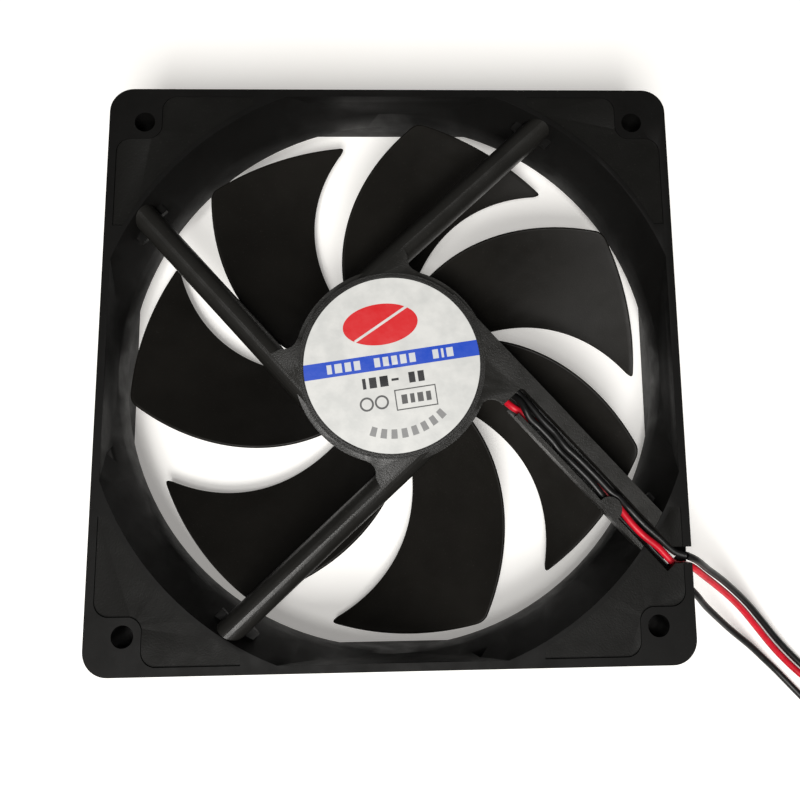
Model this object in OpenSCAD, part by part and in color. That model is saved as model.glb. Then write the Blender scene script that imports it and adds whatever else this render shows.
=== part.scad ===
// Case fan, 120 mm square, with its three leads and connector.
// Millimetres. Origin at the middle of the intake face, which lies down. +Z points to the label side.

/* [Frame] */
// Side of the square frame
frame_side = 120; // [120:0.5:121]
// Depth of the frame
frame_depth = 25; // [25:0.5:26]
// Distance between screw hole centres
hole_pitch = 105; // [104:0.5:106]
// Screw hole diameter
hole_d = 4.3; // [4:0.1:4.6]
// Radius of the frame's outer corners
corner_r = 5; // [4:0.5:6]
// Thickness of the two corner flanges
flange_t = 4.2; // [3.5:0.1:4.5]
// Half distance between the bore's flat sides
flat_half = 58.4; // [58:0.1:58.5]
// Bore radius at both faces
mouth_r = 62.6; // [62:0.1:63]
// Bore radius in the throat
throat_r = 58.4; // [58.2:0.1:58.8]
// Wall thickness of the bore
wall_t = 1.6; // [1.4:0.1:1.8]

/* [Struts] */
// Direction of the first strut, degrees
strut_angle = 42.4; // [40:0.2:45]
// Distance of the strut's middle line from the axis
strut_offset = 16.8; // [16:0.1:17.5]
// Width of a strut
strut_w = 5.4; // [4.8:0.1:5.6]
// Height of the struts' lower side
strut_z = 20.5; // [20:0.1:21]

/* [Hub base] */
// Radius of the hub base's raised rim
base_r = 19.3; // [19:0.1:19.6]
// Radius of the hub base below the rim
base_low_r = 20.3; // [20:0.1:20.5]
// Radius of the label
label_r = 18.2; // [17.8:0.1:18.3]
// Label thickness
label_t = 0.15; // [0.1:0.05:0.2]

/* [Impeller] */
// Number of blades
blade_count = 7; // [7:1:7]
// Direction of the first blade's leading tip, degrees
blade_angle = -0.6; // [-2:0.2:2]
// Blade outer radius
blade_r = 55.3; // [54:0.1:56]
// Hub cup outer radius
hub_r = 20; // [19.8:0.1:20.2]
// Height of the leading edge
lead_z = 3.6; // [3.2:0.1:4]
// Height of the trailing edge
trail_z = 18; // [17.5:0.1:18.4]
// Blade thickness
blade_t = 1.3; // [1.1:0.1:1.5]

/* [Motor] */
// Shaft diameter
shaft_d = 3; // [3:0.1:3]
// Running clearance round the shaft
shaft_gap = 0.03; // [0.02:0.01:0.08]
// Stator core outer radius
core_r = 14.4; // [14:0.1:14.5]
// Circuit board radius
board_r = 15.8; // [15.4:0.1:16]

/* [Leads] */
// Lead diameter
lead_d = 1.5; // [1.4:0.1:1.5]

/* [Hidden] */
$fn = 96;
small_fn = 32;
edge = frame_side / 2;
top = frame_depth;
hole_at = hole_pitch / 2;
eps = 0.05;
flare_h = 10;
front_flare_h = 7;
pad_deep = 0.4;
pad_arc_r = mouth_r + 1;
pad_end = 29.7;
pad_step = 48.9;
pad_round = 3;
base_z = 22.3;
rim_r = 18.45;
well_r = 3.6;
well_z = 20.8;
boss_r = 5.2;
dish_r = 17.4;
tube_r = 4.2;
tube_z = 8;
sleeve_r = 3;
sleeve_top = 20.4;
shaft_r = shaft_d / 2;
free_r = shaft_r + 0.35;

strut_low = 1.3;
strut_drop = 0.2;
screw_boss_r = 4.3;

// The strut that carries the leads
chan_angle = strut_angle - 90;
chan_low = 12.2;
chan_high = 16.4;
chan_out = 19.6;
chan_wall = 1;
chan_start = 21.7;
chan_end = 61;
chan_floor = 21.2;
slot_end = 68.2;
slot_round = 0.8;
wall_gap = 3.4;
arch_at = [21.4, 8.2];
arch_r = 3;
finger_r = 2.5;

hub_front_z = 1.6;
hub_wall = 2.1;
hub_back_z = 18.6;
yoke_r = hub_r - hub_wall - 0.1;
yoke_wall = 1;
yoke_z = hub_front_z + 1.8;
yoke_top = 18.2;
bush_r = 3.2;
bush_top = 7.2;
magnet_r = yoke_r - yoke_wall - 0.02;
magnet_in = 14.95;
magnet_z = 6.2;
magnet_top = 17.8;
core_z = 8.5;
core_top = 15.5;
arm_w = 4;
coil_in = 7.4;
coil_out = 11.2;
board_z = 18.6;
board_t = 1;
board_top = board_z + board_t;

blade_rows = 8;
blade_cols = 8;

lead_r = lead_d / 2;
lead_sides = 8;
floor_z = lead_r + 0.1;
coil_x = 110;
coil_y = -88;
turn_in = 7.5;
turn_step = 1.6;
ring_in = 6.7;
ring_out = 11.5;
ring_h = 8.8;
notch_x = 55.8;
notch_y = -40.6;
notch_w = 3.2;
notch_z = 21.2;
under_y = -42.6;
under_w = 3;
under_h = 2.2;

// A point given along and across the channel
function chan(x, y, z) = [x * cos(chan_angle) - y * sin(chan_angle),
    x * sin(chan_angle) + y * cos(chan_angle), z];

// Where each lead crosses the frame's edge
exit_red = [59.2, -41.2, 22];
exit_inner = [59.2, -39.2, 24.2];
exit_outer = [59.2, -44.1, 17];

// Route points of the leads inside the frame, from the circuit board to the frame's edge
held_red = [[10.4, -8.4, 20.4], chan(15.8, 6.2, 20.8), chan(18, 11.1, 21.1),
    chan(20.1, 12.3, 21.8), chan(22, 12.2, 22.8), chan(23.7, 12.4, 23.2), chan(25.4, 12.98, 22.7),
    chan(27.2, 13.2, 22.3), chan(29.2, 13.9, 22.05), chan(32, 14.3, 21.98), chan(41, 14.3, 21.98),
    chan(48.5, 14.3, 21.98), chan(51, 14.45, 22.2), chan(53.5, 14.1, 22.9), chan(57, 13.7, 23.4),
    chan(60.5, 13.8, 23.4), chan(64, 14.4, 22.9), [57, -40.8, 22.2], exit_red];
held_inner = [[13.2, -2.2, 20.4], chan(13.2, 12.2, 20.9), chan(17.4, 14.9, 21.2),
    chan(22.6, 15.4, 22), chan(26, 15.3, 22.9), chan(29.5, 14.95, 23.4), chan(33, 15, 23.6),
    chan(36.5, 14.6, 24), chan(40, 14.9, 23.6), chan(45, 15.05, 23.4), chan(49.5, 15.05, 23.4),
    chan(51.5, 15.5, 23.3), chan(54.5, 15.6, 22.3), chan(59, 15.6, 22.1), chan(63, 15.9, 22.6),
    [56.9, -38.4, 23.4], exit_inner];
held_outer = [[11.6, -5.4, 20.4], chan(14.8, 9.2, 20.8), chan(17.8, 12.6, 21),
    chan(20.4, 13.8, 21.5), chan(22.5, 14.3, 22.8), chan(24, 14.2, 23.7), chan(25.7, 13.7, 24.2),
    chan(27.5, 13.25, 24), chan(30, 13.45, 23.6), chan(34, 13.5, 23.4), chan(36.5, 13.3, 23.1),
    chan(40, 13.4, 23.5), chan(45, 13.55, 23.5), chan(49.5, 13.3, 22.9), chan(51.3, 12.98, 22.3),
    chan(53.5, 12.98, 21.95), chan(58, 13, 21.95), chan(61.5, 13.1, 21), chan(65, 13.2, 19.4),
    chan(70, 13.6, 17.9), exit_outer];

// Route points of the free leads, from the frame's edge to the coil on the table
free_red = [exit_red, [61, -41.7, 21.5], [64.3, -43.8, 18.2], [68.1, -46.3, 14.4],
    [72, -49.1, 10.9], [75.7, -52.3, 7.9], [79.3, -56.1, 5.3], [82.8, -60, 3.2], [86.1, -63.4, 1.8],
    [89.8, -66.8, floor_z], [94.4, -70.6, floor_z], [98.4, -74.9, floor_z],
    [100.5, -78.6, floor_z], [100.9, -81, floor_z]];
free_inner = [exit_inner, [61.6, -40.3, 23], [65.1, -42.5, 18.8], [69.2, -45, 14.6],
    [73.2, -47.9, 10.9], [77, -51.1, 7.7], [80.7, -54.9, 5.0], [84.3, -58.9, 2.9], [87.5, -62.2, 1.6],
    [91.2, -65.7, floor_z], [95.9, -69.6, floor_z], [99.9, -73.8, floor_z],
    [102.1, -77.4, floor_z], [102.5, -79.3, floor_z]];
free_outer = [exit_outer, [61, -45.6, 16.2], [63.7, -48.1, 14.4], [65.6, -50, 12.3],
    [67.6, -51.8, 10.4], [73.2, -56.4, 5.9], [78.5, -60.5, 2.9], [81.7, -63.4, 1.7], [85, -66.5, floor_z],
    [89.7, -71.5, floor_z], [93.9, -75.8, floor_z], [97.4, -79.8, floor_z],
    [99, -82.6, floor_z], [99.3, -83.9, floor_z]];

// The connector, beside the coil
plug_x = coil_x + turn_in + turn_step;
plug_y = coil_y + 20;
tail_step = 2.54;

// ---------- shared shapes ----------

// Square with rounded corners, centred
module rounded_square(side, r) {
    square([side - 2 * r, side], center = true);
    square([side, side - 2 * r], center = true);
    for (x = [-1, 1], y = [-1, 1])
        translate([x * (side / 2 - r), y * (side / 2 - r)]) circle(r = r, $fn = small_fn);
}

module at_corners(d) {
    for (x = [-1, 1], y = [-1, 1]) translate([x * d, y * d, 0]) children();
}

module ring(r_out, r_in, z, h) {
    translate([0, 0, z]) difference() {
        cylinder(h = h, r = r_out);
        translate([0, 0, -eps]) cylinder(h = h + 2 * eps, r = r_in);
    }
}

// ---------- a tube swept along route points ----------

function unit(v) = v / norm(v);
function along(p, i) = unit(p[min(i + 1, len(p) - 1)] - p[max(i - 1, 0)]);
function side_dir(t) = unit(cross(t, [0.05, 0.08, 1]));

// A curve through the route points, four steps for each stretch
function spline(a, b, c, d, t) = 0.5 * ((2 * b) + (c - a) * t
    + (2 * a - 5 * b + 4 * c - d) * t * t + (3 * b - a - 3 * c + d) * t * t * t);
function smooth_route(p) = concat([for (i = [0:len(p) - 2], k = [0:3])
    spline(p[max(i - 1, 0)], p[i], p[i + 1], p[min(i + 2, len(p) - 1)], k / 4)],
    [p[len(p) - 1]]);

module tube(route, r, n) {
    p = smooth_route(route);
    m = len(p);
    points = [for (i = [0:m - 1], k = [0:n - 1])
        let (t = along(p, i), u = side_dir(t), v = cross(t, u), a = 360 * k / n)
        p[i] + r * (cos(a) * u + sin(a) * v)];
    walls = [for (i = [0:m - 2], k = [0:n - 1], h = [0, 1])
        let (a = i * n + k, b = i * n + (k + 1) % n, c = a + n, d = b + n)
        h == 0 ? [a, c, b] : [b, c, d]];
    ends = [[for (k = [0:n - 1]) k], [for (k = [0:n - 1]) m * n - 1 - k]];
    polyhedron(points, concat(walls, ends));
}

// ---------- housing ----------

module bore_profile(extra) {
    polygon([[0, -eps], [mouth_r + extra, -eps], [mouth_r + extra, 0],
        [throat_r + extra, front_flare_h], [throat_r + extra, top - flare_h],
        [mouth_r + extra, top], [mouth_r + extra, top + eps], [0, top + eps]]);
}

module bore() {
    intersection() {
        rotate_extrude($fn = 180) bore_profile(0);
        translate([0, 0, top / 2])
            cube([2 * flat_half, 2 * flat_half, top + 1], center = true);
    }
}

// One arm of a sunken pad, along the right side, with its end rounded towards the screw hole
module pad_arm() {
    side = flat_half - 0.1;
    difference() {
        square([side, pad_step]);
        translate([side - pad_round, pad_step - pad_round]) difference() {
            square(pad_round + 1);
            circle(r = pad_round, $fn = small_fn);
        }
    }
}

// One quarter of the label side's sunken pads, in the corner x > 0, y > 0
module pad_outline() {
    difference() {
        union() {
            pad_arm();
            mirror([1, -1]) pad_arm();
            translate([pad_step - eps, pad_step - eps]) difference() {
                square(pad_round);
                translate([pad_round, pad_round]) circle(r = pad_round, $fn = small_fn);
            }
        }
        circle(r = pad_arc_r, $fn = 180);
        square([pad_end, 2 * edge]);
        square([2 * edge, pad_end]);
    }
}

module pads() {
    for (a = [0:90:270])
        rotate(a) translate([0, 0, top - pad_deep])
            linear_extrude(pad_deep + eps) pad_outline();
}

// Bar section with a rounded top, standing on y = 0
module strut_section() {
    w = strut_w / 2;
    h = top - strut_z - strut_low - strut_drop;
    polygon(concat([[-w, 0], [w, 0]],
        [for (t = [0:15:180]) [w * cos(t), strut_low + h * sin(t)]]));
}

module strut(a) {
    rotate(a) translate([0, strut_offset, strut_z]) rotate([90, 0, 90])
        linear_extrude(63) strut_section();
}

// Flat web that joins a strut's inner side to the hub base, flush with the strut's top
module strut_web(a) {
    rotate(a) translate([0, 0, strut_z]) linear_extrude(top - strut_z - strut_drop)
        polygon([[0, 0], [0, strut_offset], [18.6, strut_offset], [18, strut_offset - 2.1],
            [17.2, 13.8], [16.8, 12.9], [16.8, 11.9], [17.2, 10.7], [15, 8]]);
}

// Small ledges on the bore's wall, one each side of a strut's foot
module strut_ledges(a) {
    rotate(a) for (p = [[59.9, strut_offset - 3.4], [57.9, strut_offset + 3.6]])
        translate([p[0], p[1], 20.2]) cube([4.6, 1.7, 1.6], center = true);
}

module channel_strut() {
    rotate(chan_angle) translate([0, 0, strut_z]) {
        linear_extrude(top - strut_z - 0.1)
            polygon(concat([[-2, 0], [-2, chan_out], [64, chan_out], [64, chan_low - chan_wall]],
                [for (t = [90:15:210]) arch_at + arch_r * [cos(t), sin(t)]], [[16, 0]]));
    }
}

// Outline of the open channel, with a rounded corner at its start
module channel_slot() {
    wide = chan_high - chan_low;
    square([chan_end - chan_start, wide - slot_round]);
    translate([slot_round, 0]) square([chan_end - chan_start - slot_round, wide]);
    translate([slot_round, wide - slot_round]) circle(r = slot_round, $fn = small_fn);
}

module channel_cut() {
    rotate(chan_angle) {
        translate([chan_start, chan_low, chan_floor]) linear_extrude(top) channel_slot();
        translate([chan_start, chan_low - chan_wall - 1, chan_floor + 0.4])
            cube([wall_gap, chan_wall + 1.5, top]);
        translate([8, 9.4, strut_z - 1])
            cube([chan_start - 8 + 1.5, chan_high - 9.4 - 0.6, base_z + 0.3 - strut_z + 1]);
    }
}

// Rounded finger that keeps the leads in the channel
module channel_finger() {
    rotate(chan_angle) translate([51.6, chan_low - chan_wall, top - 1.3]) linear_extrude(1.2)
        difference() {
            translate([0, 1.1]) circle(r = finger_r, $fn = small_fn);
            translate([-finger_r - 1, -2 * finger_r]) square([2 * finger_r + 2, 2 * finger_r]);
        }
}

// Opening through the rear flange, with a notch and an undercut where the leads cross its edge
module lead_opening() {
    rotate(chan_angle) translate([58, chan_low, top - flange_t - 1])
        cube([slot_end - 58, chan_high - chan_low, flange_t + 2]);
    translate([notch_x, notch_y, notch_z]) cube([10, notch_w, top]);
    translate([notch_x, under_y, notch_z - 0.2]) cube([10, under_w, under_h]);
}

module housing_body() {
    intersection() {
        linear_extrude(top) rounded_square(frame_side, corner_r);
        union() {
            linear_extrude(flange_t) square(frame_side + 1, center = true);
            translate([0, 0, top - flange_t])
                linear_extrude(flange_t) square(frame_side + 1, center = true);
            rotate_extrude($fn = 180) bore_profile(wall_t);
            at_corners(hole_at) cylinder(h = top, r = screw_boss_r, $fn = 48);
        }
    }
}

module hub_base() {
    translate([0, 0, base_z]) cylinder(h = top - 0.7 - base_z, r = base_low_r);
    translate([0, 0, base_z]) cylinder(h = top - base_z, r = base_r);
    translate([0, 0, board_top]) cylinder(h = base_z - board_top + eps, r = boss_r);
    translate([0, 0, tube_z]) cylinder(h = base_z - tube_z, r = tube_r);
}

module hub_hollows() {
    ring(base_r - 0.25, base_r - 0.45, top - 0.2, 1);
    translate([0, 0, top - 0.25]) cylinder(h = 1, r = rim_r);
    translate([0, 0, well_z]) cylinder(h = top, r = well_r);
    ring(dish_r, boss_r, tube_z, base_z - tube_z);
    translate([0, 0, tube_z - eps]) cylinder(h = sleeve_top - tube_z + eps, r = sleeve_r);
    translate([0, 0, sleeve_top - eps]) cylinder(h = 1, r = free_r);
}

module housing() {
    color([0.06, 0.06, 0.06]) difference() {
        union() {
            difference() {
                union() {
                    difference() {
                        housing_body();
                        bore();
                    }
                    intersection() {
                        union() {
                            for (a = [strut_angle, strut_angle + 90, strut_angle + 180]) {
                                strut(a);
                                strut_web(a);
                            }
                            channel_strut();
                            for (a = [strut_angle:90:strut_angle + 270]) strut_ledges(a);
                        }
                        union() {
                            cylinder(h = top, r = pad_arc_r);
                            rotate(chan_angle) translate([0, chan_low - 2, 0])
                                cube([60, 10, top]);
                        }
                        linear_extrude(top) square(frame_side - 1, center = true);
                    }
                    hub_base();
                }
                pads();
                channel_cut();
                lead_opening();
            }
            channel_finger();
        }
        hub_hollows();
        at_corners(hole_at) translate([0, 0, -1])
            cylinder(h = top + 2, r = hole_d / 2, $fn = 48);
    }
}

module label() {
    color([0.85, 0.85, 0.84]) translate([0, 0, top - 0.25]) cylinder(h = label_t, r = label_r);
}

// ---------- bearing ----------

module bearing_sleeve() {
    color([0.6, 0.45, 0.28])
        ring(sleeve_r - 0.01, shaft_r + shaft_gap, tube_z + 0.6, sleeve_top - tube_z - 0.6);
}

module oil_seal() {
    color([0.1, 0.1, 0.1]) ring(sleeve_r - 0.01, free_r, tube_z, 0.5);
}

module thrust_washer() {
    color([0.8, 0.8, 0.75]) ring(2.9, free_r, well_z, 0.2);
}

// ---------- stator ----------

// Cross of the four arms, 2D
module arms(w, reach) {
    square([2 * reach, w], center = true);
    square([w, 2 * reach], center = true);
}

module core_outline() {
    difference() {
        union() {
            circle(r = 6.9);
            arms(arm_w, 12.8);
            difference() {
                circle(r = core_r);
                circle(r = core_r - 1.9);
                for (a = [45:90:315]) rotate(a) translate([4, -2.2]) square([20, 4.4]);
            }
        }
        circle(r = tube_r + 0.02);
    }
}

module stator_core() {
    color([0.5, 0.5, 0.52]) translate([0, 0, core_z]) linear_extrude(core_top - core_z)
        core_outline();
}

// Plastic cover of the core's face, with lips that hold the windings
module insulator(z, lip_z) {
    translate([0, 0, z]) linear_extrude(1) difference() {
        union() {
            circle(r = 6.9);
            arms(arm_w, 12.2);
        }
        circle(r = tube_r + 0.02);
    }
    for (a = [0:90:270])
        rotate(a) translate([coil_out + 0.1, -3.4, lip_z]) cube([0.9, 6.8, 1.9]);
}

module upper_insulator() {
    color([0.9, 0.9, 0.86]) difference() {
        insulator(core_top, core_top);
        for (a = [45, 135, 225])
            rotate(a) translate([5.6, 0, 0]) cylinder(h = 30, r = 0.35, $fn = 16);
    }
}

module lower_insulator() {
    color([0.9, 0.9, 0.86]) insulator(core_z - 1, core_z - 1.9);
}

module winding(a) {
    color([0.72, 0.38, 0.16]) rotate(a) difference() {
        translate([coil_in, -3.9, core_z - 2.3]) cube([coil_out - coil_in, 7.8, 11.6]);
        translate([coil_in - 1, -arm_w / 2 - 0.01, core_z - 1.01])
            cube([6, arm_w + 0.02, core_top - core_z + 2.02]);
    }
}

module winding_1() { winding(0); }

module winding_2() { winding(90); }

module winding_3() { winding(180); }

module winding_4() { winding(270); }

module winding_pins() {
    color([0.8, 0.78, 0.7]) for (a = [45, 135, 225])
        rotate(a) translate([5.6, 0, core_top]) cylinder(h = 5, r = 0.34, $fn = 16);
}

// ---------- circuit board and what it carries ----------

module circuit_board() {
    color([0.1, 0.32, 0.16]) difference() {
        translate([0, 0, board_z]) cylinder(h = board_t, r = board_r);
        translate([0, 0, board_z - 1]) cylinder(h = 3, r = tube_r + 0.05);
        for (a = [45, 135, 225])
            rotate(a) translate([5.6, 0, 0]) cylinder(h = 30, r = 0.4, $fn = 16);
    }
}

module hall_sensor() {
    color([0.08, 0.08, 0.08]) rotate(45) translate([11.2, -2, board_z - 1.6])
        cube([2.6, 4, 1.6]);
}

module driver_chip() {
    color([0.08, 0.08, 0.08]) translate([-11.5, -3, board_top]) cube([5, 6, 1.6]);
}

module capacitor() {
    color([0.7, 0.6, 0.4]) translate([-2, 8.2, board_top]) cube([4, 3.2, 1.7]);
}

module resistors() {
    color([0.1, 0.1, 0.12]) for (x = [-6.6, -3.4])
        translate([x, -11.4, board_top]) cube([1.6, 3.2, 0.6]);
}

module solder_joints() {
    color([0.75, 0.76, 0.78]) for (p = [held_red[0], held_inner[0], held_outer[0]])
        translate([p[0] - 0.6, p[1], board_top]) cylinder(h = 0.7, r1 = 1.3, r2 = 0.5, $fn = 24);
}

// ---------- leads ----------

module channel_lead_red() { color([0.75, 0.05, 0.05]) tube(held_red, lead_r, lead_sides); }

module channel_lead_inner() { color([0.05, 0.05, 0.05]) tube(held_inner, lead_r, lead_sides); }

module channel_lead_outer() { color([0.05, 0.05, 0.05]) tube(held_outer, lead_r, lead_sides); }

module lead_red() { color([0.75, 0.05, 0.05]) tube(free_red, lead_r, lead_sides); }

module lead_inner() { color([0.05, 0.05, 0.05]) tube(free_inner, lead_r, lead_sides); }

module lead_outer() { color([0.05, 0.05, 0.05]) tube(free_outer, lead_r, lead_sides); }

// The leads' coiled length, drawn as one ring
module lead_coil() {
    color([0.1, 0.05, 0.05]) translate([coil_x, coil_y, 0]) ring(ring_out, ring_in, 0, ring_h);
}

module coil_tie() {
    color([0.05, 0.05, 0.05]) translate([coil_x - 1.2, coil_y - ring_out - 0.9, 0])
        difference() {
            cube([2.4, ring_out - ring_in + 1.8, ring_h + 0.9]);
            translate([-1, 0.86, -1]) cube([5, ring_out - ring_in + 0.08, ring_h + 1.04]);
        }
}

function tail_x(k) = coil_x + turn_in + k * turn_step;
function tail_y(k) = coil_y + sqrt(ring_out * ring_out - pow(tail_x(k) - coil_x, 2));
function tail_z(k) = k == 0 ? 8 : 6.4;
function tail_route(k) = [[tail_x(k), tail_y(k) - 0.3, tail_z(k)],
    [tail_x(k), tail_y(k) + 2, tail_z(k) - 0.4], [plug_x + (k - 1) * tail_step, plug_y - 4, 3.4],
    [plug_x + (k - 1) * tail_step, plug_y, 2.6]];

module tail_red() { color([0.75, 0.05, 0.05]) tube(tail_route(1), lead_r, lead_sides); }

module tail_inner() { color([0.05, 0.05, 0.05]) tube(tail_route(0), lead_r, lead_sides); }

module tail_outer() { color([0.05, 0.05, 0.05]) tube(tail_route(2), lead_r, lead_sides); }

module connector_housing() {
    color([0.06, 0.06, 0.06]) translate([plug_x - 4.9, plug_y, 0]) difference() {
        cube([9.8, 11.5, 5.2]);
        for (k = [0:2])
            translate([4.9 + (k - 1) * tail_step - 0.85, -1, 1.75]) cube([1.7, 14, 1.7]);
    }
}

module connector_terminals() {
    color([0.75, 0.7, 0.5]) for (k = [-1:1])
        translate([plug_x + k * tail_step - 0.8, plug_y + 0.6, 1.8]) cube([1.6, 9.9, 1.6]);
}

// ---------- impeller ----------

// Turn of a blade's leading and trailing edges ahead of its tip, degrees
function reach(r) = (r - hub_r) / (blade_r - hub_r);
function lead_turn(r) = 25.5 - 10 * reach(r) - 16.8 * reach(r) * reach(r);
function trail_turn(r) = 69.5 - 36.5 * reach(r);

// A point of the blade's middle surface: k runs from the leading to the trailing edge
function blade_point(r, k) =
    let (a = lead_turn(r) + k * (trail_turn(r) - lead_turn(r)))
    [r * cos(a), r * sin(a), lead_z + (trail_z - lead_z) * (0.78 * k + 0.22 * k * k)];

function blade_normal(r, k) = unit(cross(
    blade_point(r + 0.1, k) - blade_point(r - 0.1, k),
    blade_point(r, min(k + 0.01, 1)) - blade_point(r, max(k - 0.01, 0))));

function row_r(i) = hub_r - 1 + (blade_r - hub_r + 1) * i / blade_rows;

// Half thickness, full near the middle and thinner at both edges
function half_t(k) = blade_t * (0.28 + 0.22 * sin(180 * k));

module blade() {
    n = blade_cols + 1;
    m = blade_rows + 1;
    points = [for (s = [1, -1], i = [0:blade_rows], j = [0:blade_cols])
        let (r = row_r(i), k = j / blade_cols)
        blade_point(r, k) + s * half_t(k) * blade_normal(r, k)];
    skins = [for (s = [0, 1], i = [0:m - 2], j = [0:n - 2], h = [0, 1])
        let (o = s * m * n, a = o + i * n + j, b = a + 1, c = a + n, d = c + 1,
            f = h == 0 ? [a, b, c] : [b, d, c])
        s == 0 ? f : [f[0], f[2], f[1]]];
    edges = [for (e = [0, 1], i = [0:m - 2], h = [0, 1])
        let (j = e * (n - 1), a = i * n + j, b = a + n, c = a + m * n, d = b + m * n,
            f = h == 0 ? [a, b, c] : [b, d, c])
        e == 0 ? f : [f[0], f[2], f[1]]];
    tips = [for (e = [0, 1], j = [0:n - 2], h = [0, 1])
        let (i = e * (m - 1), a = i * n + j, b = a + 1, c = a + m * n, d = b + m * n,
            f = h == 0 ? [a, c, b] : [b, c, d])
        e == 0 ? f : [f[0], f[2], f[1]]];
    polyhedron(points, concat(skins, edges, tips));
}

module hub_cup() {
    rotate_extrude() polygon([[0, hub_front_z], [hub_r - 1, hub_front_z],
        [hub_r, hub_front_z + 1], [hub_r, hub_back_z], [hub_r - hub_wall, hub_back_z],
        [hub_r - hub_wall, yoke_z], [0, yoke_z]]);
}

module impeller() {
    color([0.09, 0.09, 0.09]) {
        hub_cup();
        for (i = [0:blade_count - 1]) rotate(blade_angle + i * 360 / blade_count) blade();
    }
}

module rotor_yoke() {
    color([0.55, 0.56, 0.58]) rotate_extrude() polygon([[bush_r + 0.01, yoke_z + 0.01],
        [yoke_r, yoke_z + 0.01], [yoke_r, yoke_top], [yoke_r - yoke_wall, yoke_top],
        [yoke_r - yoke_wall, yoke_z + yoke_wall], [bush_r + 0.01, yoke_z + yoke_wall]]);
}

module magnet_ring() {
    color([0.2, 0.19, 0.18]) ring(magnet_r, magnet_in, magnet_z, magnet_top - magnet_z);
}

module shaft_bush() {
    color([0.75, 0.6, 0.3])
        ring(bush_r, shaft_r + 0.01, yoke_z + 0.01, bush_top - yoke_z - 0.01);
}

module shaft() {
    color([0.75, 0.76, 0.78]) rotate_extrude() polygon([[0, yoke_z + 0.02],
        [shaft_r, yoke_z + 0.02], [shaft_r, 21.3], [1.2, 21.3], [1.2, 21.7], [shaft_r, 21.7],
        [shaft_r, 22.3], [1.2, 22.6], [0, 22.6]]);
}

module slip_washer() {
    color([0.2, 0.15, 0.1]) ring(2.7, shaft_r + 0.01, bush_top + 0.01, 0.3);
}

module retaining_clip() {
    color([0.85, 0.85, 0.8]) difference() {
        ring(2.6, 1.21, 21.32, 0.36);
        translate([0, -0.9, 21]) cube([4, 1.8, 1]);
    }
}

housing();
label();
bearing_sleeve();
oil_seal();
thrust_washer();
stator_core();
upper_insulator();
lower_insulator();
winding_1();
winding_2();
winding_3();
winding_4();
winding_pins();
circuit_board();
hall_sensor();
driver_chip();
capacitor();
resistors();
solder_joints();
channel_lead_red();
channel_lead_inner();
channel_lead_outer();
lead_red();
lead_inner();
lead_outer();
lead_coil();
coil_tie();
connector_housing();
connector_terminals();
tail_red();
tail_inner();
tail_outer();
impeller();
rotor_yoke();
magnet_ring();
shaft_bush();
shaft();
slip_washer();
retaining_clip();
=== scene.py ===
"""A 120 mm case fan lying on a pale table, label side up, with its three leads."""

import math

import bmesh
import bpy
from mathutils import Matrix, Vector


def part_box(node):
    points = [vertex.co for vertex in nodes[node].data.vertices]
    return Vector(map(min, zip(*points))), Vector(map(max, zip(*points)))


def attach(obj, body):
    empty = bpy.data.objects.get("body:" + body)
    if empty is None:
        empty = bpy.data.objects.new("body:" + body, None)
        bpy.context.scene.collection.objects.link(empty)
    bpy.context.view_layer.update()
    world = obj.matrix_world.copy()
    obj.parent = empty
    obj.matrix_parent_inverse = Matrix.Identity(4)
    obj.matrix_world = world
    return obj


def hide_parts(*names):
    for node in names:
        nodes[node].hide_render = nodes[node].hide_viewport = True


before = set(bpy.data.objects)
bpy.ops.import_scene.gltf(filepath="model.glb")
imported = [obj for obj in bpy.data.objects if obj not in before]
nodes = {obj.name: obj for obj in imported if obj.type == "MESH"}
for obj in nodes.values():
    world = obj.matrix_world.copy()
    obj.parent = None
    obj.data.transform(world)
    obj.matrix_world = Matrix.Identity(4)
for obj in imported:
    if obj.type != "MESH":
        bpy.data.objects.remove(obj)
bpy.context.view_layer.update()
MM = 0.001


# ---------- small helpers ----------


def deselect():
    if bpy.context.object and bpy.context.object.mode != "OBJECT":
        bpy.ops.object.mode_set(mode="OBJECT")
    bpy.ops.object.select_all(action="DESELECT")


def activate(piece):
    deselect()
    piece.select_set(True)
    bpy.context.view_layer.objects.active = piece


def name_new(name):
    piece = bpy.context.object
    piece.name = name
    piece.data.name = name
    return piece


def settle(piece):
    """Put the piece's place into its mesh."""
    activate(piece)
    bpy.ops.object.transform_apply(location=True, rotation=True, scale=True)
    return piece


def smooth(piece, degrees=35):
    activate(piece)
    bpy.ops.object.shade_smooth_by_angle(angle=math.radians(degrees))
    return piece


def apply_all(piece):
    activate(piece)
    for modifier in list(piece.modifiers):
        bpy.ops.object.modifier_apply(modifier=modifier.name)
    return piece


def bevel(piece, width, segments=2, degrees=30):
    rounding = piece.modifiers.new("rounded_edges", "BEVEL")
    rounding.width = width
    rounding.segments = segments
    rounding.limit_method = "ANGLE"
    rounding.angle_limit = math.radians(degrees)
    rounding.use_clamp_overlap = True
    return apply_all(piece)


def join(pieces, name):
    deselect()
    for piece in pieces:
        piece.select_set(True)
    bpy.context.view_layer.objects.active = pieces[0]
    if len(pieces) > 1:
        bpy.ops.object.join()
    return name_new(name)


def finish_piece(piece, body, slot, material, *stands_for):
    piece.data.materials.clear()
    piece.data.materials.append(material)
    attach(piece, body)
    if stands_for:
        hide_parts(*stands_for)
    return piece


# ---------- materials ----------


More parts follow.
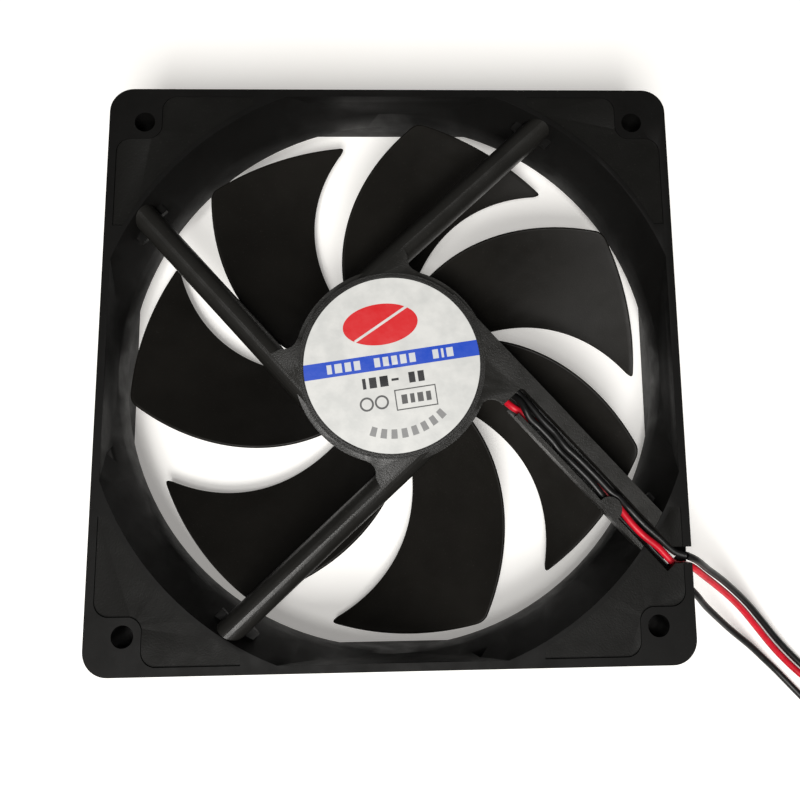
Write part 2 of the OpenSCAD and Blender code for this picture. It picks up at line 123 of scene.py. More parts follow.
class Shade:
    """One material's node tree, with short calls for what the finishes share."""

    def __init__(self, name, base, roughness, metallic=0.0, specular=0.5, coat=0.0):
        self.material = bpy.data.materials.new(name)
        self.material.use_nodes = True
        self.tree = self.material.node_tree
        self.tree.nodes.clear()
        self.out = self.tree.nodes.new("ShaderNodeOutputMaterial")
        self.shader = self.tree.nodes.new("ShaderNodeBsdfPrincipled")
        self.shader.inputs["Base Color"].default_value = (*base, 1)
        self.shader.inputs["Roughness"].default_value = roughness
        self.shader.inputs["Metallic"].default_value = metallic
        self.shader.inputs["Specular IOR Level"].default_value = specular
        self.shader.inputs["Coat Weight"].default_value = coat
        self.tree.links.new(self.shader.outputs[0], self.out.inputs[0])
        self.place = self.tree.nodes.new("ShaderNodeTexCoord").outputs["Object"]
        self.base = base
        self.normal = None

    def link(self, a, b):
        self.tree.links.new(a, b)

    def math(self, kind, a, b=0.0, c=0.0):
        node = self.tree.nodes.new("ShaderNodeMath")
        node.operation = kind
        for socket, value in zip(node.inputs, (a, b, c)):
            if isinstance(value, (int, float)):
                socket.default_value = value
            else:
                self.link(value, socket)
        return node.outputs[0]

    def noise(self, scale, detail=3, rough=0.55, place=None):
        node = self.tree.nodes.new("ShaderNodeTexNoise")
        node.inputs["Scale"].default_value = scale
        node.inputs["Detail"].default_value = detail
        node.inputs["Roughness"].default_value = rough
        self.link(place or self.place, node.inputs["Vector"])
        return node.outputs["Fac"]

    def cells(self, scale):
        node = self.tree.nodes.new("ShaderNodeTexVoronoi")
        node.inputs["Scale"].default_value = scale
        self.link(self.place, node.inputs["Vector"])
        return node.outputs["Distance"]

    def stretch(self, value, low, high, to_low, to_high):
        node = self.tree.nodes.new("ShaderNodeMapRange")
        for name, number in zip(
            ("From Min", "From Max", "To Min", "To Max"), (low, high, to_low, to_high)
        ):
            node.inputs[name].default_value = number
        self.link(value, node.inputs["Value"])
        return node.outputs[0]

    def mix(self, share, a, b):
        node = self.tree.nodes.new("ShaderNodeMix")
        node.data_type = "RGBA"
        self.link(share, node.inputs["Factor"])
        for socket, value in zip((node.inputs[6], node.inputs[7]), (a, b)):
            if isinstance(value, tuple):
                socket.default_value = (*value, 1)
            else:
                self.link(value, socket)
        return node.outputs[2]

    def bump(self, height, strength, distance):
        node = self.tree.nodes.new("ShaderNodeBump")
        node.inputs["Strength"].default_value = strength
        node.inputs["Distance"].default_value = distance
        self.link(height, node.inputs["Height"])
        if self.normal is not None:
            self.link(self.normal, node.inputs["Normal"])
        self.normal = node.outputs[0]
        self.link(self.normal, self.shader.inputs["Normal"])

    def colour(self, value):
        self.link(value, self.shader.inputs["Base Color"])

    def rough(self, value):
        self.link(value, self.shader.inputs["Roughness"])


def tint(base, factor):
    return tuple(min(1.0, c * factor) for c in base)


def moulded(name, base, roughness, grain=4200, depth=0.25, contrast=0.35, specular=0.28):
    """Moulded plastic: fine spark grain, faint cloudiness and a few light dust specks."""
    s = Shade(name, base, roughness, specular=specular)
    cloud = s.noise(55, 4)
    fine = s.noise(grain, 2, 0.6)
    dark, light = tint(base, 1 - contrast / 2), tint(base, 1 + contrast / 2)
    body = s.mix(s.stretch(cloud, 0.35, 0.65, 0, 1), dark, light)
    speck = s.stretch(s.noise(grain * 0.55, 1), 0.68, 0.76, 0, 0.5)
    s.colour(s.mix(speck, body, tint(base, 2.6)))
    s.rough(s.stretch(s.noise(240, 3), 0.3, 0.7, roughness - 0.06, roughness + 0.07))
    s.bump(fine, depth, 0.00006)
    return s.material


def metal(name, base, roughness, brushed=False):
    s = Shade(name, base, roughness, metallic=1.0)
    s.colour(s.mix(s.stretch(s.noise(180, 3), 0.35, 0.65, 0, 1), tint(base, 0.86), tint(base, 1.1)))
    s.rough(s.stretch(s.noise(900 if brushed else 400, 2), 0.3, 0.7, roughness - 0.07, roughness + 0.09))
    s.bump(s.noise(5200, 2), 0.12, 0.00002)
    return s.material


def sleeve(name, base):
    """Soft wire insulation: glossy, faintly uneven along its length."""
    s = Shade(name, base, 0.38, specular=0.35)
    s.colour(s.mix(s.stretch(s.noise(420, 2), 0.3, 0.7, 0, 1), tint(base, 0.82), tint(base, 1.16)))
    s.rough(s.stretch(s.noise(800, 2), 0.3, 0.7, 0.32, 0.46))
    s.bump(s.noise(1500, 2), 0.15, 0.00004)
    return s.material


frame_smooth = moulded("frame_plastic_smooth", (0.0052, 0.0050, 0.0047), 0.5, 5200, 0.35, 0.3, 0.09)
frame_grain = moulded("frame_plastic_grained", (0.0056, 0.0054, 0.0048), 0.5, 3600, 0.75, 0.25, 0.1)
# The hub, struts and web are the same moulding as the frame. This copy's lighter base colour is painted
# highlight; its grain is real.
hub_grain_painted_highlight = moulded("hub_plastic_grained_painted_highlight", (0.0130, 0.0125, 0.0112), 0.34, 3600, 0.7, 0.3, 0.34)
blade_plastic = moulded("impeller_plastic", (0.0098, 0.0090, 0.0078), 0.4, 4600, 0.4, 0.4, 0.12)
nylon_black = moulded("black_nylon", (0.018, 0.018, 0.018), 0.4, 4000, 0.2, 0.2)
nylon_natural = moulded("natural_nylon", (0.72, 0.68, 0.56), 0.45, 3800, 0.2, 0.12)
cover_plastic = moulded("insulator_plastic", (0.8, 0.79, 0.72), 0.5, 3600, 0.25, 0.1)
chip_body = moulded("chip_body", (0.022, 0.022, 0.023), 0.5, 5000, 0.3, 0.2)
seal_rubber = moulded("seal_rubber", (0.02, 0.02, 0.02), 0.7, 3000, 0.4, 0.3)
magnet_body = moulded("bonded_magnet", (0.05, 0.047, 0.044), 0.6, 3400, 0.5, 0.3)
ceramic_body = moulded("ceramic_body", (0.56, 0.42, 0.25), 0.35, 4200, 0.15, 0.15)
red_sleeve = sleeve("red_insulation", (0.56, 0.006, 0.02))
black_sleeve = sleeve("black_insulation", (0.006, 0.006, 0.006))
core_steel = metal("stamped_steel", (0.46, 0.46, 0.47), 0.4, True)
shaft_steel = metal("ground_steel", (0.68, 0.69, 0.7), 0.2, True)
bronze = metal("sintered_bronze", (0.5, 0.3, 0.14), 0.5)
brass = metal("turned_brass", (0.75, 0.54, 0.22), 0.25)
tinned = metal("tinned_metal", (0.72, 0.73, 0.74), 0.28)


def enamelled_copper():
    s = Shade("enamelled_copper", (0.62, 0.22, 0.07), 0.3, metallic=1.0, coat=0.5)
    split = s.tree.nodes.new("ShaderNodeSeparateXYZ")
    s.link(s.place, split.inputs[0])
    turns = s.math("SINE", s.math("MULTIPLY", split.outputs["Z"], 2 * math.pi / 0.00028))
    # Each turn's crest is painted lighter and the groove between turns darker: painted highlight and
    # painted shade on the round wire.
    s.colour(s.mix(s.stretch(turns, -1, 1, 0, 1), (0.32, 0.1, 0.03), (0.75, 0.3, 0.1)))
    s.bump(turns, 0.7, 0.00008)
    return s.material


def board_laminate():
    s = Shade("board_laminate", (0.02, 0.16, 0.06), 0.3, specular=0.5, coat=0.3)
    trace = s.stretch(s.cells(260), 0.28, 0.34, 0, 1)
    s.colour(s.mix(trace, (0.03, 0.2, 0.075), (0.012, 0.105, 0.04)))
    s.bump(trace, 0.3, 0.00004)
    s.rough(s.stretch(s.noise(700, 2), 0.3, 0.7, 0.24, 0.38))
    return s.material


copper = enamelled_copper()
board = board_laminate()

# ---------- camera, from above and a little towards the lower edge ----------

SENSOR_MM = 36
LENS_MM = 42.525
SHIFT_X = -0.04125
SHIFT_Y = -0.12875
CAMERA_AT = (0.0003, -0.0224, 0.219)
CAMERA_TURN = (10.66, -2.31, -0.79)
lens = bpy.data.cameras.new("camera")
camera = bpy.data.objects.new("camera", lens)
bpy.context.scene.collection.objects.link(camera)
camera.location = CAMERA_AT
camera.rotation_euler = [math.radians(a) for a in CAMERA_TURN]
lens.sensor_width = SENSOR_MM
lens.lens = LENS_MM
lens.shift_x = SHIFT_X
lens.shift_y = SHIFT_Y
lens.clip_start = 0.005
lens.clip_end = 20
bpy.context.scene.camera = camera

# ---------- leads ----------

LEAD_D = 1.5 * MM
FLOOR_Z = 0.85
CHAN_ANGLE = math.radians(42.4 - 90)
COIL = (110.0, -88.0)
PLUG_X = COIL[0] + 9.1
PLUG_Y = COIL[1] + 20


def chan(x, y, z):
    """A point given along and across the wire channel, in millimetres."""
    c, s = math.cos(CHAN_ANGLE), math.sin(CHAN_ANGLE)
    return (x * c - y * s, x * s + y * c, z)


EXIT_RED = (59.2, -41.2, 22)
EXIT_INNER = (59.2, -39.2, 24.2)
EXIT_OUTER = (59.2, -44.1, 17)

HELD = {
    "red": [
        (10.4, -8.4, 20.4), chan(15.8, 6.2, 20.8), chan(18, 11.1, 21.1), chan(20.1, 12.3, 21.8),
        chan(22, 12.2, 22.8), chan(23.7, 12.4, 23.2), chan(25.4, 12.98, 22.7),
        chan(27.2, 13.2, 22.3), chan(29.2, 13.9, 22.05), chan(32, 14.3, 21.98),
        chan(41, 14.3, 21.98), chan(48.5, 14.3, 21.98), chan(51, 14.45, 22.2),
        chan(53.5, 14.1, 22.9), chan(57, 13.7, 23.4), chan(60.5, 13.8, 23.4),
        chan(64, 14.4, 22.9), (57, -40.8, 22.2), EXIT_RED,
    ],
    "inner": [
        (13.2, -2.2, 20.4), chan(13.2, 12.2, 20.9), chan(17.4, 14.9, 21.2), chan(22.6, 15.4, 22),
        chan(26, 15.3, 22.9), chan(29.5, 14.95, 23.4), chan(33, 15, 23.6), chan(36.5, 14.6, 24),
        chan(40, 14.9, 23.6), chan(45, 15.05, 23.4), chan(49.5, 15.05, 23.4),
        chan(51.5, 15.5, 23.3), chan(54.5, 15.6, 22.3), chan(59, 15.6, 22.1),
        chan(63, 15.9, 22.6), (56.9, -38.4, 23.4), EXIT_INNER,
    ],
    "outer": [
        (11.6, -5.4, 20.4), chan(14.8, 9.2, 20.8), chan(17.8, 12.6, 21), chan(20.4, 13.8, 21.5),
        chan(22.5, 14.3, 22.8), chan(24, 14.2, 23.7), chan(25.7, 13.7, 24.2),
        chan(27.5, 13.25, 24), chan(30, 13.45, 23.6), chan(34, 13.5, 23.4),
        chan(36.5, 13.3, 23.1), chan(40, 13.4, 23.5), chan(45, 13.55, 23.5),
        chan(49.5, 13.3, 22.9), chan(51.3, 12.98, 22.3), chan(53.5, 12.98, 21.95),
        chan(58, 13, 21.95), chan(61.5, 13.1, 21), chan(65, 13.2, 19.4), chan(70, 13.6, 17.9),
        EXIT_OUTER,
    ],
}

FREE = {
    "red": [
        EXIT_RED, (61, -41.7, 21.5), (64.3, -43.8, 18.2), (68.1, -46.3, 14.4), (72, -49.1, 10.9),
        (75.7, -52.3, 7.9), (79.3, -56.1, 5.3), (82.8, -60, 3.2), (86.1, -63.4, 1.8),
        (89.8, -66.8, FLOOR_Z), (94.4, -70.6, FLOOR_Z), (98.4, -74.9, FLOOR_Z),
        (100.5, -78.6, FLOOR_Z), (100.9, -81, FLOOR_Z),
    ],
    "inner": [
        EXIT_INNER, (61.6, -40.3, 23), (65.1, -42.5, 18.8), (69.2, -45.0, 14.6), (73.2, -47.9, 10.9),
        (77, -51.1, 7.7), (80.7, -54.9, 5.0), (84.3, -58.9, 2.9), (87.5, -62.2, 1.6),
        (91.2, -65.7, FLOOR_Z), (95.9, -69.6, FLOOR_Z), (99.9, -73.8, FLOOR_Z),
        (102.1, -77.4, FLOOR_Z), (102.5, -79.3, FLOOR_Z),
    ],
    "outer": [
        EXIT_OUTER, (61, -45.6, 16.2), (63.7, -48.1, 14.4), (65.6, -50, 12.3), (67.6, -51.8, 10.4),
        (73.2, -56.4, 5.9), (78.5, -60.5, 2.9), (81.7, -63.4, 1.7), (85, -66.5, FLOOR_Z),
        (89.7, -71.5, FLOOR_Z), (93.9, -75.8, FLOOR_Z), (97.4, -79.8, FLOOR_Z),
        (99, -82.6, FLOOR_Z), (99.3, -83.9, FLOOR_Z),
    ],
}

# Radius of a lead's turns in the coil, how many, and which hole of the connector it enters
WOUND = {"inner": (7.5, 4.5, -1), "red": (9.1, 3.5, 0), "outer": (10.7, 3.5, 1)}
TURN_STEP = 1.6
HOLE_STEP = 2.54


def spline(points, steps=4):
    """The same curve through the route points as the solids follow."""
    out = []
    last = len(points) - 1
    for i in range(last):
        a, b, c, d = (
            Vector(points[max(i - 1, 0)]), Vector(points[i]),
            Vector(points[i + 1]), Vector(points[min(i + 2, last)]),
        )
        for k in range(steps):
            t = k / steps
            out.append(
                0.5 * (2 * b + (c - a) * t + (2 * a - 5 * b + 4 * c - d) * t * t
                       + (3 * b - a - 3 * c + d) * t ** 3)
            )
    out.append(Vector(points[last]))
    return out


def lead_route(key):
    radius, turns, hole = WOUND[key]
    route = spline(FREE[key][:-1] + [(COIL[0] - radius, FREE[key][-1][1], FLOOR_Z)])
    straight = route[-1].y - COIL[1]
    for k in range(1, 4):
        route.append(Vector((COIL[0] - radius, COIL[1] + straight * (1 - k / 4), FLOOR_Z)))
    steps = int(turns * 28)
    for k in range(steps + 1):
        a = math.pi + 2 * math.pi * turns * k / steps
        z = FLOOR_Z + TURN_STEP * turns * k / steps
        route.append(Vector((COIL[0] + radius * math.cos(a), COIL[1] + radius * math.sin(a), z)))
    end = route[-1]
    plug = PLUG_X + hole * HOLE_STEP
    tail = [
        tuple(route[-2]), tuple(end), (end.x, COIL[1] + 5, end.z - 0.3),
        (end.x + 0.2 * hole, COIL[1] + 10, end.z - 1.7),
        (plug, PLUG_Y - 4, 3.4), (plug, PLUG_Y + 0.8, 2.6),
    ]
    route += spline(tail)[5:]
    return [p * MM for p in route]


def wire_curve(name, points):
    data = bpy.data.curves.new(name, "CURVE")
    data.dimensions = "3D"
    data.bevel_depth = LEAD_D / 2
    data.bevel_resolution = 4
    data.use_fill_caps = True
    line = data.splines.new("POLY")
    line.points.add(len(points) - 1)
    for point, place in zip(line.points, points):
        point.co = (*place, 1)
    line.use_smooth = True
    piece = bpy.data.objects.new(name, data)
    bpy.context.scene.collection.objects.link(piece)
    return piece


def box_piece(name, low, high):
    deselect()
    bpy.ops.mesh.primitive_cube_add(size=1, location=[(a + b) / 2 * MM for a, b in zip(low, high)])
    piece = name_new(name)
    piece.scale = [(b - a) * MM for a, b in zip(low, high)]
    return settle(piece)


def connector():
    """Flat housing with three wire holes, polarising ribs and latch windows."""
    body = box_piece("connector_body", (PLUG_X - 4.9, PLUG_Y, 0.05), (PLUG_X + 4.9, PLUG_Y + 11.5, 5.2))
    cutters = []
    for k in (-1, 0, 1):
        x = PLUG_X + k * HOLE_STEP
        cutters.append(box_piece("hole", (x - 0.85, PLUG_Y - 1, 1.75), (x + 0.85, PLUG_Y + 14, 3.45)))
        cutters.append(box_piece("window", (x - 0.6, PLUG_Y + 4, 3), (x + 0.6, PLUG_Y + 6.2, 7)))
    for k in (-1, 1):
        x = PLUG_X + k * 4.9
        cutters.append(box_piece("side", (x - 0.4, PLUG_Y + 7, -1), (x + 0.4, PLUG_Y + 12, 3)))
    cutter = join(cutters, "cutter")
    cut = body.modifiers.new("holes", "BOOLEAN")
    cut.operation = "DIFFERENCE"
    cut.solver = "EXACT"
    cut.object = cutter
    cut.use_self = True
    apply_all(body)
    bpy.data.objects.remove(cutter)
    bevel(body, 0.00018, 2)
    return smooth(body)


def coil_band(name):
    """Tie round the coiled leads, with its small head."""
    r_in, r_out, low, top, wall = 6.5, 11.75, 0.05, 9.05, 0.3
    x, y = COIL
    strap = box_piece(name, (x - 1.2, y - r_out, low), (x + 1.2, y - r_in, top))
    hollow = box_piece(
        "hollow", (x - 2, y - r_out + wall, low + wall), (x + 2, y - r_in - wall, top - wall)
    )
    bevel(hollow, 0.0011, 4)
    bevel(strap, 0.0013, 4)
    cut = strap.modifiers.new("hollow", "BOOLEAN")
    cut.solver = "EXACT"
    cut.object = hollow
    apply_all(strap)
    bpy.data.objects.remove(hollow)
    head = box_piece("head", (x - 1.7, y - r_out - 0.35, 5.2), (x + 1.7, y - r_out + 0.4, 8.2))
    bevel(head, 0.0003, 2)
    piece = join([strap, head], name)
    return smooth(piece)


plug = finish_piece(connector(), "frame", "connector_nylon", nylon_black, "connector_housing")
tie = finish_piece(coil_band("coil_band"), "frame", "tie_nylon", nylon_black, "coil_tie")

sleeves = {"red": red_sleeve, "inner": black_sleeve, "outer": black_sleeve}
for key, finish in sleeves.items():
    slot = "red_sleeve" if key == "red" else "black_sleeve"
    held = wire_curve("held_lead_" + key, [p * MM for p in spline(HELD[key])])
    finish_piece(held, "frame", slot, finish, "channel_lead_" + key)
    free = wire_curve("free_lead_" + key, lead_route(key))
    stands_for = ["lead_" + key, "tail_" + key] + (["lead_coil"] if key == "red" else [])
    finish_piece(free, "frame", slot, finish, *stands_for)

# ---------- frame moulding ----------


def merged_copy(node, name):
    """A welded copy of a solid, with its flat faces whole again."""
    piece = nodes[node].copy()
    piece.data = nodes[node].data.copy()
    piece.parent = None
    for key in list(piece.keys()):
        del piece[key]
    bpy.context.scene.collection.objects.link(piece)
    piece.name = name
    activate(piece)
    bpy.ops.object.mode_set(mode="EDIT")
    bpy.ops.mesh.select_all(action="SELECT")
    bpy.ops.mesh.remove_doubles(threshold=2e-6)
    bpy.ops.mesh.dissolve_limited(angle_limit=math.radians(0.4))
    bpy.ops.object.mode_set(mode="OBJECT")
    return piece


# Height of the sunken pads, lower side of the struts, and radius inside which all is bore, strut or hub
PAD_Z = 24.6
STRUT_Z = 20.4
BORE_R = 58.0
EDGE_WIDTH = 0.22
EDGE_ANGLE = math.radians(28)


def frame_moulding():
    piece = merged_copy("housing", "frame_moulding")
    smooth(piece, 32)
    edges = piece.modifiers.new("edges", "BEVEL")
    edges.width = EDGE_WIDTH * MM
    edges.segments = 2
    edges.limit_method = "ANGLE"
    edges.angle_limit = EDGE_ANGLE
    edges.harden_normals = True
    apply_all(piece)
    piece.data.materials.clear()
    for finish in (frame_smooth, frame_grain, hub_grain_painted_highlight):
        piece.data.materials.append(finish)
    for face in piece.data.polygons:
        z = face.center.z / MM
        radii = [math.hypot(*piece.data.vertices[v].co[:2]) / MM for v in face.vertices]
        if abs(z - PAD_Z) < 0.06 and face.normal.z > 0.98 and min(radii) > BORE_R:
            face.material_index = 1
        # Faces inside BORE_R above STRUT_Z take the lighter copy of the plastic, which is painted
        # highlight.
        elif min(radii) < BORE_R and z > STRUT_Z:
            face.material_index = 2
    return piece


moulding = frame_moulding()
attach(moulding, "frame")
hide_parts("housing")

# ---------- label ----------

LABEL_R = 18.2
LABEL_TILT = math.radians(8.1)
LABEL_RINGS = 14
RING_STEP = 1.26
SAG_DEPTH = 0.13
SAG_R = 3.6


def label_print():
    """White film with a plain blue band, a plain red mark and grey bars in place of print."""
    s = Shade("label_film", (0.6, 0.6, 0.6), 0.36, specular=0.5, coat=0.1)
    turn = s.tree.nodes.new("ShaderNodeVectorRotate")
    turn.inputs["Angle"].default_value = -LABEL_TILT
    s.link(s.place, turn.inputs["Vector"])
    split = s.tree.nodes.new("ShaderNodeSeparateXYZ")
    s.link(turn.outputs[0], split.inputs[0])
    u = s.math("MULTIPLY", split.outputs["X"], 1000)
    v = s.math("MULTIPLY", split.outputs["Y"], 1000)

    def within(value, low, high):
        middle, half = (low + high) / 2, (high - low) / 2
        return s.math("LESS_THAN", s.math("ABSOLUTE", s.math("SUBTRACT", value, middle)), half)

    def patch(u0, u1, v0, v1):
        return s.math("MULTIPLY", within(u, u0, u1), within(v, v0, v1))

    def add(a, b):
        return s.math("MAXIMUM", a, b)

    def radius(cu, cv, ku=1.0, kv=1.0):
        a = s.math("MULTIPLY", s.math("SUBTRACT", u, cu), ku)
        b = s.math("MULTIPLY", s.math("SUBTRACT", v, cv), kv)
        return s.math("SQRT", s.math("ADD", s.math("MULTIPLY", a, a), s.math("MULTIPLY", b, b)))

    blue = within(v, -0.8, 2.45)
    oval = s.math("LESS_THAN", radius(-1.2, 8.6, 0.55, 1.0), 4.3)
    slant = s.math("ADD", v, s.math("MULTIPLY", u, -0.5))
    stripe = s.math("MULTIPLY", within(slant, 8.9, 9.5), within(u, -7, 5))
    red = s.math("MULTIPLY", oval, s.math("SUBTRACT", 1.0, stripe))

    # Plain blocks, one to each printed sign
    white = None
    for u0, u1 in [(-13.4, -12.4), (-11.8, -10.3), (-9.7, -8.4), (-7.8, -6.5), (-3.6, -2.4), (-1.8, -0.6),
                   (0.0, 1.2), (1.8, 3.1), (3.7, 5.0), (8.6, 9.8), (10.4, 10.9), (11.5, 12.9)]:
        block = patch(u0, u1, -0.15, 1.75)
        white = block if white is None else add(white, block)
    dark = None
    for u0, u1 in [(-6.6, -5.9), (-5.2, -3.7), (-3.0, -1.3), (3.0, 4.3), (4.9, 6.2)]:
        block = patch(u0, u1, -4.3, -2.1)
        dark = block if dark is None else add(dark, block)
    dark = add(dark, patch(-0.6, 0.9, -3.4, -2.9))
    grey = s.math("SUBTRACT", patch(-0.4, 8.2, -9.6, -5.3), patch(-0.15, 7.95, -9.35, -5.55))
    for u0, u1 in [(0.9, 2.1), (2.7, 3.6), (4.2, 5.4), (6.0, 7.0)]:
        grey = add(grey, patch(u0, u1, -8.4, -6.5))
    for cu in (-6.3, -3.2):
        wheel = radius(cu, -7.4)
        grey = add(grey, within(wheel, 1.05, 1.45))
    turn_angle = s.math("ARCTAN2", u, s.math("MULTIPLY", v, -1.0))
    bars = s.math("GREATER_THAN", s.math("SINE", s.math("MULTIPLY", turn_angle, 42)), -0.25)
    spread = s.math("MULTIPLY", bars, within(turn_angle, -0.5, 0.72))
    band = s.math("MULTIPLY", within(radius(0, 0), 13.3, 15.2), s.math("LESS_THAN", v, -8))
    curved = s.math("MULTIPLY", band, spread)

    paper = s.mix(s.stretch(s.noise(260, 3), 0.35, 0.65, 0, 1), (0.60, 0.605, 0.59), (0.69, 0.69, 0.67))
    paper = s.mix(curved, paper, (0.24, 0.24, 0.24))
    paper = s.mix(grey, paper, (0.09, 0.09, 0.09))
    paper = s.mix(dark, paper, (0.018, 0.018, 0.02))
    paper = s.mix(blue, paper, (0.006, 0.06, 0.5))
    paper = s.mix(white, paper, (0.6, 0.62, 0.65))
    s.colour(s.mix(red, paper, (0.64, 0.01, 0.014)))
    s.rough(s.stretch(s.noise(500, 2), 0.3, 0.7, 0.3, 0.42))
    s.bump(s.noise(420, 3), 0.25, 0.00012)
    s.bump(s.noise(3200, 2), 0.1, 0.00003)
    return s.material


def label_disc():
    """Film disc that follows the base, and sags a little over the well in its middle."""
    low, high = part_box("label")
    deselect()
    bpy.ops.mesh.primitive_circle_add(
        vertices=96, radius=LABEL_R * MM, fill_type="NGON", location=(0, 0, low.z)
    )
    piece = settle(name_new("label_disc"))
    activate(piece)
    bpy.ops.object.mode_set(mode="EDIT")
    bpy.ops.mesh.select_all(action="SELECT")
    for _ in range(LABEL_RINGS):
        bpy.ops.mesh.inset(thickness=RING_STEP * MM, depth=0)
    bpy.ops.mesh.poke()
    bpy.ops.object.mode_set(mode="OBJECT")
    for vertex in piece.data.vertices:
        r = math.hypot(vertex.co.x, vertex.co.y) / MM
        a = math.atan2(vertex.co.y, vertex.co.x)
        sag = SAG_DEPTH * math.exp(-((r / SAG_R) ** 2)) * (1 + 0.25 * math.cos(3 * a + 0.6))
        ripple = 0.015 * math.exp(-(((r - 6) / 3) ** 2)) * math.cos(2 * a + 0.4)
        vertex.co.z = high.z - 0.04 * MM - (sag - ripple) * MM
    film = piece.modifiers.new("film", "SOLIDIFY")
    film.thickness = 0.1 * MM
    film.offset = -1
    apply_all(piece)
    return smooth(piece, 40)


finish_piece(label_disc(), "frame", "label_film", label_print(), "label")

# ---------- impeller ----------

HUB_R = 20.0
BLADE_R = 55.3
LEAD_Z = 3.6
TRAIL_Z = 18.0
BLADE_T = 1.3
BLADE_TURN = -0.6
BLADES = 7


def reach(r):
    return (r - HUB_R) / (BLADE_R - HUB_R)


def blade_point(r, k):
    """Middle surface of a blade: k runs from its leading to its trailing edge."""
    lead = 25.5 - 10 * reach(r) - 16.8 * reach(r) ** 2
    trail = 69.5 - 36.5 * reach(r)
    a = math.radians(lead + k * (trail - lead))
    z = LEAD_Z + (TRAIL_Z - LEAD_Z) * (0.78 * k + 0.22 * k * k)
    return Vector((r * math.cos(a), r * math.sin(a), z)) * MM


def tip_cut(k):
    """How far the blade's outer edge draws in at its two rounded corners."""
    cut = 0
    for edge_k, size_k, size in ((0, 0.045, 1.5), (1, 0.05, 0.9)):
        d = abs(k - edge_k)
        if d < size_k:
            cut = size * (1 - math.sqrt(max(0, 1 - (1 - d / size_k) ** 2)))
    return cut


def blade_piece():
    rows, cols = 34, 40
    deselect()
    bpy.ops.mesh.primitive_grid_add(x_subdivisions=rows, y_subdivisions=cols, size=1)
    piece = name_new("blade")
    for vertex in piece.data.vertices:
        across = vertex.co.x + 0.5
        k = vertex.co.y + 0.5
        k_even = k - 0.07 * math.sin(2 * math.pi * k)
        r = HUB_R - 0.8 + (BLADE_R - tip_cut(k_even) - HUB_R + 0.8) * across
        vertex.co = blade_point(r, k_even)
    group = piece.vertex_groups.new(name="thick")
    for vertex in piece.data.vertices:
        i = vertex.index
        k = (i // (rows + 1)) / cols
        group.add([i], 0.56 + 0.44 * math.sin(math.pi * min(1, max(0, k))), "REPLACE")
    shell = piece.modifiers.new("thickness", "SOLIDIFY")
    shell.thickness = BLADE_T * MM
    shell.offset = 0
    shell.vertex_group = "thick"
    shell.use_even_offset = True
    apply_all(piece)
    bevel(piece, 0.0003, 3, 50)
    piece.vertex_groups.clear()
    return piece


def hub_cup():
    """Cup with a rounded rim, spun from its section."""
    section = [
        (0, 1.6), (18.4, 1.6), (19.3, 1.85), (19.8, 2.4), (20, 3.2), (20, 18.2), (19.7, 18.6),
        (18.2, 18.6), (17.9, 18.3), (17.9, 4.0), (17.3, 3.4), (0, 3.4),
    ]
    deselect()
    bpy.ops.mesh.primitive_plane_add(size=0.001)
    piece = name_new("hub_cup")
    mesh = bmesh.new()
    ring = [mesh.verts.new((x * MM, 0, z * MM)) for x, z in section]
    for a, b in zip(ring, ring[1:]):
        mesh.edges.new((a, b))
    mesh.to_mesh(piece.data)
    mesh.free()
    activate(piece)
    bpy.ops.object.mode_set(mode="EDIT")
    bpy.ops.mesh.select_all(action="SELECT")
    bpy.ops.mesh.spin(steps=120, angle=2 * math.pi, center=(0, 0, 0), axis=(0, 0, 1))
    bpy.ops.mesh.select_all(action="SELECT")
    bpy.ops.mesh.remove_doubles(threshold=1e-6)
    bpy.ops.mesh.normals_make_consistent(inside=False)
    bpy.ops.object.mode_set(mode="OBJECT")
    return piece


def impeller():
    pieces = [hub_cup()]
    first = blade_piece()
    for i in range(BLADES):
        blade = first.copy()
        blade.data = first.data.copy()
        bpy.context.scene.collection.objects.link(blade)
        blade.data.transform(Matrix.Rotation(math.radians(BLADE_TURN + i * 360 / BLADES), 4, "Z"))
        pieces.append(blade)
    bpy.data.objects.remove(first)
    piece = join(pieces, "impeller_moulding")
    return smooth(piece, 40)


finish_piece(impeller(), "rotor", "impeller_plastic", blade_plastic, "impeller")

# ---------- solids that keep their shape ----------

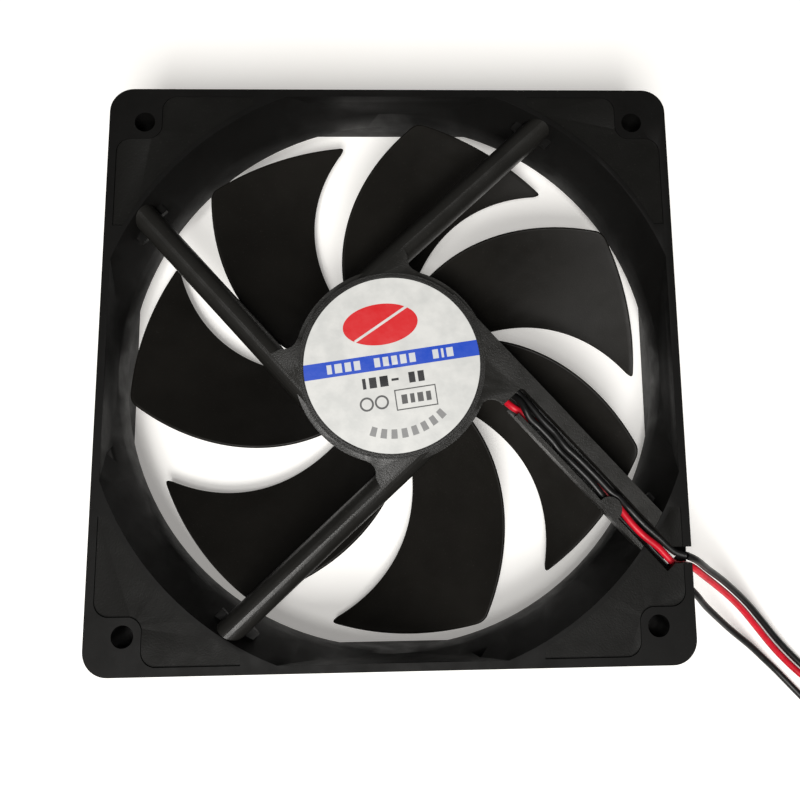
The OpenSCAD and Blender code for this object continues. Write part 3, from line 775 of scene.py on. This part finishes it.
INSIDE = {
    bronze: ["bearing_sleeve"],
    seal_rubber: ["oil_seal"],
    nylon_natural: ["thrust_washer", "slip_washer", "retaining_clip"],
    core_steel: ["stator_core", "rotor_yoke"],
    cover_plastic: ["upper_insulator", "lower_insulator"],
    copper: ["winding_1", "winding_2", "winding_3", "winding_4"],
    tinned: ["winding_pins", "solder_joints", "connector_terminals"],
    board: ["circuit_board"],
    chip_body: ["hall_sensor", "driver_chip", "resistors"],
    ceramic_body: ["capacitor"],
    magnet_body: ["magnet_ring"],
    brass: ["shaft_bush"],
    shaft_steel: ["shaft"],
}
for finish, names in INSIDE.items():
    for name in names:
        nodes[name].data.materials.clear()
        nodes[name].data.materials.append(finish)

# ---------- table and light ----------


def table():
    s = Shade("table_top", (0.86, 0.855, 0.84), 0.55)
    s.colour(s.mix(s.stretch(s.noise(14, 4), 0.35, 0.65, 0, 1), (0.85, 0.84, 0.82), (0.88, 0.875, 0.86)))
    s.rough(s.stretch(s.noise(60, 2), 0.3, 0.7, 0.5, 0.62))
    s.shader.inputs["Emission Color"].default_value = (1, 0.97, 0.93, 1)
    s.shader.inputs["Emission Strength"].default_value = 0.3
    deselect()
    bpy.ops.mesh.primitive_plane_add(size=6, location=(0, 0, 0))
    piece = name_new("table_top")
    piece.data.materials.append(s.material)


def soft_light(name, place, target, size, watts, colour=(1, 1, 1)):
    data = bpy.data.lights.new(name, "AREA")
    data.shape = "SQUARE"
    data.size = size
    data.energy = watts
    data.color = colour
    lamp = bpy.data.objects.new(name, data)
    bpy.context.scene.collection.objects.link(lamp)
    lamp.location = place
    lamp.rotation_euler = (Vector(target) - Vector(place)).to_track_quat("-Z", "Y").to_euler()
    return lamp


table()
soft_light("key_light", (-0.04, -0.5, 0.8), (0, 0, 0), 0.4, 8.5, (1, 0.985, 0.96))
soft_light("top_light", (-0.1, -0.16, 0.9), (0, 0, 0), 0.16, 2.2, (1, 0.99, 0.97))
world = bpy.data.worlds.new("room")
bpy.context.scene.world = world
world.use_nodes = True
world.node_tree.nodes["Background"].inputs[0].default_value = (0.95, 0.95, 0.94, 1)
world.node_tree.nodes["Background"].inputs[1].default_value = 0.09
bpy.context.scene.view_settings.view_transform = "Standard"
